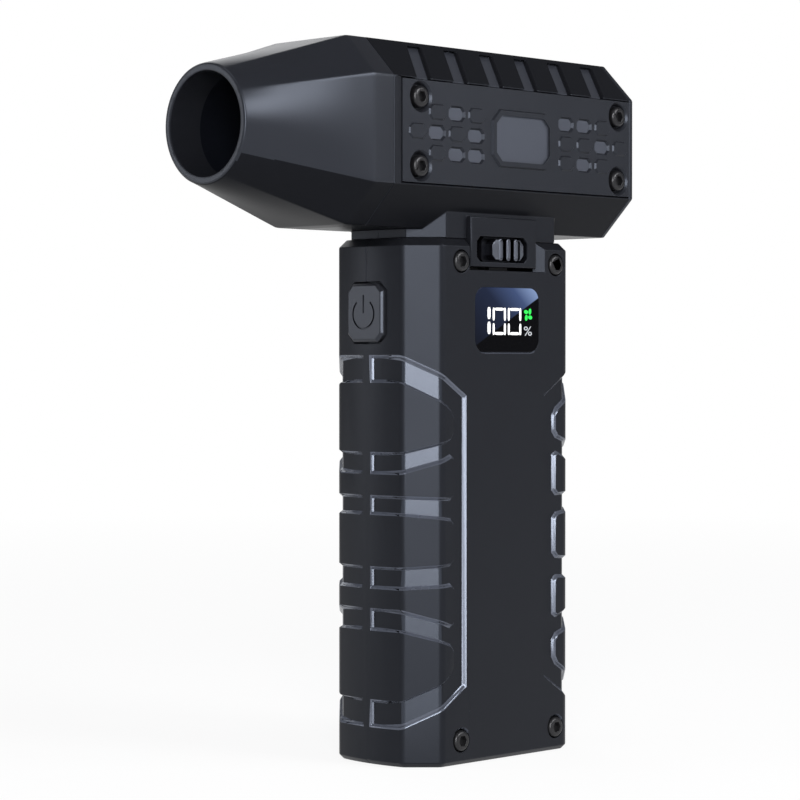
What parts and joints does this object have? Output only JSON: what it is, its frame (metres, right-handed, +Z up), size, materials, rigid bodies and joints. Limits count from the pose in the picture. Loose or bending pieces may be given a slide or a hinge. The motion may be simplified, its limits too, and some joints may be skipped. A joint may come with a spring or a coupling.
{
  "type": "car dryer blower",
  "caption": "handheld turbo air blower with an octagonal fan barrel, a round tapered outlet and a battery grip with a charge display",
  "frame": {"origin": "centre of the handle's flat base, on the plane where the shells meet", "axes": "+Z up along the handle, air outlet towards -X, power button on the -X side, display on the -Y side"},
  "size_m": [0.1353, 0.0472, 0.185],
  "materials": {
    "case_plastic": "satin moulded",
    "plate_plastic": "satin moulded",
    "button_plastic": "satin moulded",
    "cover_plastic": "satin moulded",
    "duct_plastic": "moulded",
    "impeller_plastic": "moulded",
    "lens": "polished",
    "screw_steel": "black oxide",
    "bright_steel": "ground",
    "motor_steel": "laminated",
    "magnet": "plated",
    "winding": "enamelled",
    "alloy": "machined",
    "cell_wrap": "shrink wrap",
    "nickel": "plated",
    "foam": "closed cell",
    "soft_rubber": "soft",
    "board": "solder mask",
    "chip": "moulded",
    "socket_plastic": "moulded",
    "panel": "glossy",
    "lead": "insulated",
    "holder_plastic": "moulded"
  },
  "bodies": {
    "handle": {"handle_shell_left": "case_plastic", "handle_shell_right": "case_plastic", "handle_screws": "screw_steel", "battery_cell_front": "cell_wrap", "battery_cell_middle": "cell_wrap", "battery_cell_rear": "cell_wrap", "cell_holder_lower": "holder_plastic", "cell_holder_upper": "holder_plastic", "link_strips_lower": "nickel", "link_strips_upper": "nickel", "battery_foam_lower": "foam", "battery_foam_upper": "foam", "battery_leads": "lead", "main_board": "board", "board_screws": "bright_steel", "power_transistors": "chip", "board_capacitor": "alloy", "control_chip": "chip", "motor_socket": "socket_plastic", "charging_port": "bright_steel", "display_lens": "lens", "display_panel": "panel", "display_board": "board", "power_switch": "chip", "head_shell_left": "case_plastic", "head_shell_right": "case_plastic", "side_plate_left": "plate_plastic", "side_plate_right": "plate_plastic", "plate_screws_left": "screw_steel", "plate_screws_right": "screw_steel", "nose_cone": "plate_plastic", "outlet_liner": "duct_plastic", "fan_duct": "duct_plastic", "tail_cone": "duct_plastic", "damper_ring_front": "soft_rubber", "damper_ring_rear": "soft_rubber", "motor_end_cap": "alloy", "bearing_front": "bright_steel", "bearing_rear": "bright_steel", "stator_core": "motor_steel", "stator_windings": "winding", "rear_cover": "cover_plastic", "rear_cover_screws": "screw_steel", "intake_mesh": "bright_steel", "motor_plug": "socket_plastic", "motor_leads": "lead", "lead_grommet": "soft_rubber"},
    "rotor": {"motor_shaft": "bright_steel", "rotor_magnet": "magnet", "impeller": "impeller_plastic", "impeller_nut": "alloy"},
    "button": {"power_button": "button_plastic", "switch_plunger": "socket_plastic"},
    "lock_slide": {"lock_knob": "button_plastic", "lock_hook": "bright_steel"}
  },
  "joints": [
    {"name": "fan_spin", "type": "hinge", "parent": "handle", "child": "rotor", "pos_m": [0, 0, 0.16146], "axis": [1, 0, 0], "continuous": true},
    {"name": "button_press", "type": "slide", "parent": "handle", "child": "button", "axis": [1, 0, 0], "range_m": [0, 0.0006], "stiffness_N_per_m": 1500},
    {"name": "lock_slide", "type": "slide", "parent": "handle", "child": "lock_slide", "axis": [-1, 0, 0], "range_m": [0, 0.0055]}
  ]
}
